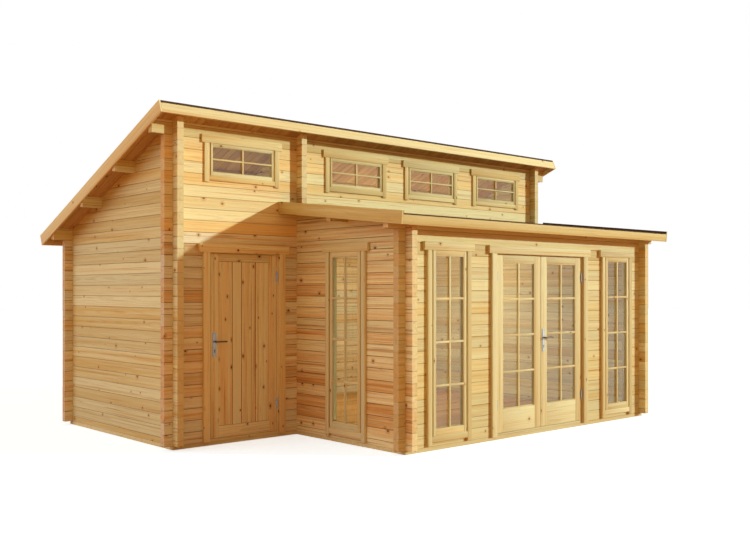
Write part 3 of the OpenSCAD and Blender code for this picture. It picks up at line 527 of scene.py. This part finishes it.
for nodeName, (tone, wall) in frontCourses.items():
    dress(nodeName, pineMaterial("pine_" + nodeName, tone, "x", course=(frontStart, logs["height"], wall)))
for nodeName, (tone, wall) in sideCourses.items():
    dress(nodeName, pineMaterial("pine_" + nodeName, tone, "y", course=(sideStart, logs["height"], wall)))
dress("foundation_beams", beamPine)
dress("floor_joists", floorPine)
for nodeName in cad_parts:
    if nodeName.endswith("glass"):
        dress(nodeName, glass)
    if nodeName.endswith(("plates", "sleeves", "pins")):
        dress(nodeName, steel)
    if nodeName.endswith("lever"):
        dress(nodeName, darkSteel)
print("materials made:", len(bpy.data.materials))


# Modelling helpers

def clearSelection():
    if bpy.context.object and bpy.context.object.mode != "OBJECT":
        bpy.ops.object.mode_set(mode="OBJECT")
    bpy.ops.object.select_all(action="DESELECT")


def boardPiece(name, boards, materials):
    # boards are (low corner, high corner, material index): one cube each, added in edit mode to one mesh
    clearSelection()
    low, high, index = boards[0]
    bpy.ops.mesh.primitive_cube_add(size=1, location=(low + high) / 2, scale=high - low)
    piece = bpy.context.object
    piece.name = name
    piece.data.name = name
    bpy.ops.object.transform_apply(location=True, rotation=True, scale=True)
    for material in materials:
        piece.data.materials.append(material)
    bpy.ops.object.mode_set(mode="EDIT")
    bpy.ops.mesh.select_all(action="SELECT")
    piece.active_material_index = index
    bpy.ops.object.material_slot_assign()
    for low, high, index in boards[1:]:
        bpy.ops.mesh.select_all(action="DESELECT")
        bpy.ops.mesh.primitive_cube_add(size=1, location=(low + high) / 2, scale=high - low)
        piece.active_material_index = index
        bpy.ops.object.material_slot_assign()
    bpy.ops.object.mode_set(mode="OBJECT")
    return piece


def pickOnly(piece):
    clearSelection()
    bpy.context.view_layer.objects.active = piece
    piece.select_set(True)


smoothAngle = 35      # degrees, over which an edge stays sharp


def roundEdges(piece, width, segments=2, grooveIndex=-1):
    # the new faces take the material at grooveIndex, or their neighbours' where it is -1
    pickOnly(piece)
    bpy.ops.object.modifier_add(type="BEVEL")
    bevel = piece.modifiers[-1]
    bevel.width = width
    bevel.segments = segments
    bevel.limit_method = "ANGLE"
    bevel.material = grooveIndex
    bpy.ops.object.modifier_apply(modifier=bevel.name)
    bpy.ops.object.shade_smooth_by_angle(angle=math.radians(smoothAngle))


def tilt(piece, turn):
    pickOnly(piece)
    piece.rotation_euler.x = turn
    bpy.ops.object.transform_apply(location=True, rotation=True, scale=True)


def settle(piece, body, slotName, *nodeNames):
    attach(piece, body)
    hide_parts(*nodeNames)
    print("made", piece.name, "with", len(piece.data.polygons), "faces")


def longest(low, high):
    size = high - low
    return max(range(3), key=lambda i: size[i])


def plainBoards(nodeName, turn=0.0):
    return [(low, high, longest(low, high)) for low, high in solidBoxes(nodeName, turn)]


def splitSheet(low, high, axis, boardWidth, gap):
    # boards of about one width side by side along an axis, in place of a sheet
    count = round((high[axis] - low[axis]) / boardWidth)
    width = (high[axis] - low[axis]) / count
    boards = []
    for i in range(count):
        start, end = low.copy(), high.copy()
        start[axis] = low[axis] + i * width + gap / 2
        end[axis] = low[axis] + (i + 1) * width - gap / 2
        boards.append((start, end, 0))
    return boards


# Windows

casings = {"round": 0.003}


def makeCasings(name, nodeName, materials):
    piece = boardPiece(name, plainBoards(nodeName), materials)
    roundEdges(piece, casings["round"])
    settle(piece, "cabin", "pine_joinery", nodeName)


bars = {
    "tall": {"columns": 2, "rows": 4, "width": 0.022, "bead": 0.008},
    "small": {"columns": 2, "rows": 2, "width": 0.017, "bead": 0.006},
    "door": {"columns": 2, "rows": 4, "width": 0.022, "bead": 0.009},
    "setBack": 0.002, "round": 0.002, "clear": 0.0003,
    "sashReach": 0.01,      # a sash lies within this of the middle of its pane
}


def throughAxis(low, high):
    # the way through a sheet of glass
    return 1 if (high - low).y < (high - low).x else 0


def paneBars(pane, front, back, kind):
    # beads on both faces of a pane, within the faces of the sash at front and back, and bars outside
    columns, rows, width, bead = (bars[kind][key] for key in ("columns", "rows", "width", "bead"))
    low, high = pane
    flat = throughAxis(low, high)
    side = 1 - flat
    boards = []
    outside = (front + bars["setBack"], low[flat] - bars["clear"])
    inside = (high[flat] + bars["clear"], back - bars["setBack"])

    def strip(sideLow, sideHigh, zLow, zHigh, depth):
        start, end = Vector((0, 0, zLow)), Vector((0, 0, zHigh))
        start[flat], end[flat] = depth
        start[side], end[side] = sideLow, sideHigh
        boards.append((start, end, longest(start, end)))

    left, right, bottom, top = low[side], high[side], low.z, high.z
    gap = bars["clear"]
    for depth in (outside, inside):
        strip(left, left + bead, bottom, top, depth)
        strip(right - bead, right, bottom, top, depth)
        strip(left + bead + gap, right - bead - gap, bottom, bottom + bead, depth)
        strip(left + bead + gap, right - bead - gap, top - bead, top, depth)
    half = width / 2
    uprights = [left + (right - left) * i / columns for i in range(1, columns)]
    for x in uprights:
        strip(x - half, x + half, bottom + bead + gap, top - bead - gap, outside)
    edges = [left + bead + gap] + [e for x in uprights for e in (x - half - gap, x + half + gap)]
    edges.append(right - bead - gap)
    for i in range(1, rows):
        z = bottom + (top - bottom) * i / rows
        for a, b in zip(edges[0::2], edges[1::2]):
            strip(a, b, z - half, z + half, outside)
    return boards


def makeSashes(name, nodeName, glassName, kind):
    boards = plainBoards(nodeName)
    for low, high in solidBoxes(glassName):
        flat = throughAxis(low, high)
        middle = (low + high)[flat] / 2
        front, back = next((start[flat], end[flat]) for start, end, index in boards
                           if abs((start + end)[flat] / 2 - middle) < bars["sashReach"])
        boards = boards + paneBars((low, high), front, back, kind)
    piece = boardPiece(name, boards, joinery)
    roundEdges(piece, bars["round"])
    settle(piece, "cabin", "pine_joinery", nodeName)


makeCasings("smallWindowCasings", "clerestory_window_frames", smallCasing)
makeCasings("tallWindowCasings", "tall_window_frames", joinery)
makeSashes("smallWindowSashes", "clerestory_window_sashes", "clerestory_window_glass", "small")
makeSashes("tallWindowSashes", "tall_window_sashes", "tall_window_glass", "tall")


# Doors

doors = {
    "round": 0.003,
    "boardShares": (0.27, 0.18, 0.28, 0.27),      # of the storage door's panel, from left to right
    "lightOne": 1,                                # which of them is pale
    "groove": 0.004, "boardGap": 0.0008,
}

makeCasings("storageDoorFrame", "storage_door_frame", doorCasing)
makeCasings("gardenDoorFrame", "garden_door_frame", joinery)


def makeGardenLeaf(name, body, nodeName, glassName):
    boards = plainBoards(nodeName)
    low, high = solidBoxes(glassName)[0]
    boards = boards + paneBars((low, high), boards[0][0].y, boards[0][1].y, "door")
    piece = boardPiece(name, boards, joinery)
    roundEdges(piece, bars["round"])
    settle(piece, body, "pine_joinery", nodeName)


makeGardenLeaf("leftGardenDoor", "left_garden_door", "left_garden_leaf", "left_garden_glass")
makeGardenLeaf("rightGardenDoor", "right_garden_door", "right_garden_leaf", "right_garden_glass")

storageLeaf = boardPiece("storageDoorRails", plainBoards("storage_door_leaf"), doorPine)
roundEdges(storageLeaf, doors["round"])
settle(storageLeaf, "storage_door", "pine_joinery", "storage_door_leaf")


def makeStoragePanel():
    low, high = solidBoxes("storage_door_panel")[0]
    left = low.x
    boards = []
    for i, share in enumerate(doors["boardShares"]):
        right = left + share * (high.x - low.x)
        start = Vector((left + doors["boardGap"] / 2, low.y, low.z))
        end = Vector((right - doors["boardGap"] / 2, high.y, high.z))
        boards.append((start, end, 1 if i == doors["lightOne"] else 0))
        left = right
    piece = boardPiece("storageDoorBoards", boards, [doorPine[2], lightBoard, grooveShade])
    # the bevel faces between the boards take the dark groove material: painted shade in the grooves
    roundEdges(piece, doors["groove"], 1, 2)
    settle(piece, "storage_door", "pine_joinery", "storage_door_panel")


makeStoragePanel()

locks = {"drop": 0.06, "radius": 0.0085, "slotWidth": 0.01, "slotDrop": 0.0245, "proud": 0.0015,
         "screwRadius": 0.004, "screwInset": 0.014, "screwProud": 0.001, "round": 0.0004, "sides": 20}


def makeLocks(name, body, nodeName):
    # a key cylinder and two screw heads on the outer face of each handle plate
    plates = solidBoxes(nodeName)
    middle = sum(((low + high).y / 2 for low, high in plates)) / len(plates)
    slots, rounds = [], []
    for low, high in plates:
        centre = (low + high) / 2
        outward = -1 if centre.y < middle else 1
        face = low.y if outward < 0 else high.y
        keyHeight = centre.z - locks["drop"]
        depth = sorted((face, face + outward * locks["proud"]))
        half = locks["slotWidth"] / 2
        slots.append((Vector((centre.x - half, depth[0], keyHeight - locks["slotDrop"])),
                      Vector((centre.x + half, depth[1], keyHeight)), 0))
        rounds.append((centre.x, face, outward, keyHeight, locks["radius"], locks["proud"], 0))
        for z in (low.z + locks["screwInset"], high.z - locks["screwInset"]):
            rounds.append((centre.x, face, outward, z, locks["screwRadius"], locks["screwProud"], 1))
    piece = boardPiece(name, slots, [darkSteel, steel])
    bpy.ops.object.mode_set(mode="EDIT")
    for x, face, outward, z, radius, proud, index in rounds:
        bpy.ops.mesh.select_all(action="DESELECT")
        bpy.ops.mesh.primitive_cylinder_add(vertices=locks["sides"], radius=radius, depth=proud,
                                            rotation=(math.radians(90), 0, 0),
                                            location=(x, face + outward * proud / 2, z))
        piece.active_material_index = index
        bpy.ops.object.material_slot_assign()
    bpy.ops.object.mode_set(mode="OBJECT")
    roundEdges(piece, locks["round"])
    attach(piece, body)
    print("made", piece.name, "with", len(piece.data.polygons), "faces")


makeLocks("storageDoorLock", "storage_door", "storage_door_plates")
makeLocks("gardenDoorLock", "right_garden_door", "right_garden_plates")


# Roofs

roofs = {"boardWidth": 0.096, "boardGap": 0.0015, "boardRound": 0.006, "trimRound": 0.003,
         "feltStrip": 1.0, "feltLap": 0.0015, "feltRound": 0.0005, "feltReveal": 0.006,
         "foldDepth": 0.0015, "foldDrop": 0.007}


def makeDeck(name, nodeName, turn, material):
    low, high = solidBoxes(nodeName, turn)[0]
    boards = splitSheet(low, high, 0, roofs["boardWidth"], roofs["boardGap"])
    piece = boardPiece(name, boards, [material])
    roundEdges(piece, roofs["boardRound"], 1)
    tilt(piece, turn)
    settle(piece, "cabin", "pine_boards", nodeName)


def makeFelt(name, nodeName, turn, lowEdgeFirst):
    # strips lap over each other up the slope, on one under layer
    boxes = solidBoxes(nodeName, turn)
    sheet = max(boxes, key=lambda b: (b[1].x - b[0].x) * (b[1].y - b[0].y))
    low, high = sheet
    boards = [(*box, 0) for box in boxes if box != sheet]
    split = high.z - roofs["feltLap"]
    boards.append((low, Vector((high.x, high.y, split)), 0))
    count = math.ceil((high.y - low.y) / roofs["feltStrip"])
    for i in range(count):
        if lowEdgeFirst:
            start = low.y + i * roofs["feltStrip"]
            end = min(start + roofs["feltStrip"] - roofs["feltReveal"], high.y)
        else:
            end = high.y - i * roofs["feltStrip"]
            start = max(end - roofs["feltStrip"] + roofs["feltReveal"], low.y)
        boards.append((Vector((low.x, start, split)), Vector((high.x, end, high.z)), 0))
    if lowEdgeFirst:      # the felt is folded down over the top of the front fascia
        boards.append((Vector((low.x, low.y - roofs["foldDepth"], low.z - roofs["foldDrop"])),
                       Vector((high.x, low.y, high.z)), 0))
    piece = boardPiece(name, boards, [felt])
    roundEdges(piece, roofs["feltRound"], 1)
    tilt(piece, turn)
    settle(piece, "cabin", "roofing_felt", nodeName)


def cutPlumb(piece, y):
    pickOnly(piece)
    bpy.ops.object.mode_set(mode="EDIT")
    bpy.ops.mesh.select_all(action="SELECT")
    bpy.ops.mesh.bisect(plane_co=(0, y, 0), plane_no=(0, 1, 0), use_fill=True, clear_outer=True)
    bpy.ops.object.mode_set(mode="OBJECT")


def makeTrim(name, nodeName, turn, materials, wallFace=None):
    piece = boardPiece(name, plainBoards(nodeName, turn), materials)
    if wallFace is None:
        roundEdges(piece, roofs["trimRound"])
        tilt(piece, turn)
    else:
        tilt(piece, turn)
        cutPlumb(piece, wallFace)
        roundEdges(piece, roofs["trimRound"])
    settle(piece, "cabin", "pine_joinery", nodeName)


makeDeck("upperRoofBoards", "upper_roof_deck", upperTurn, upperBoards)
makeDeck("lowerRoofBoards", "lower_roof_deck", lowerTurn, lowerBoards)
makeFelt("upperRoofFelt", "upper_roof_felt", upperTurn, False)
makeFelt("lowerRoofFelt", "lower_roof_felt", lowerTurn, True)
makeTrim("upperFasciaBoards", "upper_fascias", upperTurn, upperTrim)
makeTrim("upperBargeBoards", "upper_barge_boards", upperTurn, upperTrim)
makeTrim("lowerFasciaBoard", "lower_fascia", lowerTurn, lowerTrim)
makeTrim("lowerBargeBoards", "lower_barge_boards", lowerTurn, lowerTrim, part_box("lower_barge_boards")[1].y)


# Floors

floors = {"boardWidth": 0.12, "boardGap": 0.001, "round": 0.0025}


def makeFloor(name, nodeName):
    low, high = solidBoxes(nodeName)[0]
    boards = splitSheet(low, high, 1, floors["boardWidth"], floors["boardGap"])
    piece = boardPiece(name, boards, [floorPine])
    roundEdges(piece, floors["round"], 1)
    settle(piece, "cabin", "pine_boards", nodeName)


makeFloor("storageFloorBoards", "storage_floor")
makeFloor("gardenRoomFloorBoards", "garden_room_floor")


# Stage, light and camera

stage = {"size": 120.0, "drop": 0.001, "roughness": 0.9, "lift": 0.65,
         "colour": rgb(206, 231, 255), "bounce": rgb(213, 141, 76)}
light = {
    "key": {"to": (-1.0, 1.0, -0.38), "strength": 2.7, "softness": 2.0, "colour": (0.87, 1.05, 1.02)},
    "fill": {"to": (0.85, -0.35, -0.4), "strength": 1.09, "softness": 60.0, "colour": (0.88, 1.04, 1.18)},
    "sunHeight": 8.0,
    "skyStrength": 0.52, "skyColour": (1.0, 0.64, 0.33, 1.0),
    "roomColour": (1.0, 0.96, 0.82), "roomHeight": 1.65, "roomSize": 0.25,
    "rooms": (      # floor, shares of its width and depth, watts
        ("storage_floor", 0.5, 0.5, 20.0),
        ("garden_room_floor", 0.35, 0.58, 38.0),
        ("garden_room_floor", 0.76, 0.58, 20.0),
    ),
}
view = {"place": (-7.4479, -8.5195, 1.6072), "heading": 48.083, "lens": 43.66, "sensor": 36.0,
        "shiftUp": 0.03125, "reach": 500}
white = (1.0, 1.0, 1.0, 1.0)


def seenDirectly(tree, rays):
    # 1 on what the camera sees, also in metal and through glass
    mirrored = calc(tree, "MAXIMUM", rays["Is Glossy Ray"], rays["Is Transmission Ray"])
    return calc(tree, "MAXIMUM", rays["Is Camera Ray"], mirrored)


def makeFloorStage():
    clearSelection()
    bpy.ops.mesh.primitive_plane_add(size=stage["size"], location=(0, 0, -stage["drop"]))
    ground = bpy.context.object
    ground.name = "studioFloor"
    material, tree, shader = startMaterial("studioFloor")
    shader.inputs["Roughness"].default_value = stage["roughness"]
    shader.inputs["Specular IOR Level"].default_value = 0.0
    rays = tree.nodes.new("ShaderNodeLightPath").outputs
    colour = blendColours(tree, rays["Is Diffuse Ray"], stage["colour"], stage["bounce"])      # a warm bounce
    tree.links.new(colour, shader.inputs["Base Color"])
    lift = calc(tree, "MULTIPLY", seenDirectly(tree, rays), stage["lift"])
    tree.links.new(lift, shader.inputs["Emission Strength"])
    shader.inputs["Emission Color"].default_value = white
    ground.data.materials.append(material)


def makeSun(name, lamp):
    clearSelection()
    bpy.ops.object.light_add(type="SUN", location=(0, 0, light["sunHeight"]))
    sun = bpy.context.object
    sun.name = name
    sun.rotation_euler = Vector(lamp["to"]).to_track_quat("-Z", "Y").to_euler()
    sun.data.energy = lamp["strength"]
    sun.data.angle = math.radians(lamp["softness"])
    sun.data.color = lamp["colour"]


def makeRoomLamps():
    # unseen lamps that show the rooms through the glass
    for nodeName, across, back, power in light["rooms"]:
        clearSelection()
        low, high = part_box(nodeName)
        size = high - low
        place = (low.x + size.x * across, low.y + size.y * back, light["roomHeight"])
        bpy.ops.object.light_add(type="POINT", location=place)
        lamp = bpy.context.object
        lamp.name = nodeName + "Lamp"
        lamp.data.energy = power
        lamp.data.color = light["roomColour"]
        lamp.data.shadow_soft_size = light["roomSize"]
        lamp.visible_camera = lamp.visible_glossy = lamp.visible_transmission = False


def makeSky():
    world = bpy.data.worlds.new("studioSky")
    bpy.context.scene.world = world
    world.use_nodes = True
    tree = world.node_tree
    tree.nodes.clear()
    rays = tree.nodes.new("ShaderNodeLightPath").outputs
    sky = addNode(tree, "ShaderNodeBackground", {0: light["skyColour"], 1: light["skyStrength"]})
    plain = addNode(tree, "ShaderNodeBackground", {0: white, 1: 1.0})
    seen = seenDirectly(tree, rays)
    mixed = addNode(tree, "ShaderNodeMixShader", {0: seen, 1: sky.outputs[0], 2: plain.outputs[0]})
    output = tree.nodes.new("ShaderNodeOutputWorld")
    tree.links.new(mixed.outputs[0], output.inputs["Surface"])


def makeCamera():
    clearSelection()
    turn = math.radians(view["heading"] - 90)
    bpy.ops.object.camera_add(location=view["place"], rotation=(math.radians(90), 0, turn))
    camera = bpy.context.object
    camera.name = "photoCamera"
    camera.data.sensor_width = view["sensor"]
    camera.data.lens = view["lens"]
    camera.data.shift_y = view["shiftUp"]
    camera.data.clip_end = view["reach"]
    bpy.context.scene.camera = camera


makeFloorStage()
makeSun("keyLight", light["key"])
makeSun("fillLight", light["fill"])
makeRoomLamps()
makeSky()
makeCamera()
bpy.context.scene.view_settings.view_transform = "Standard"
print("stage, light and camera set")
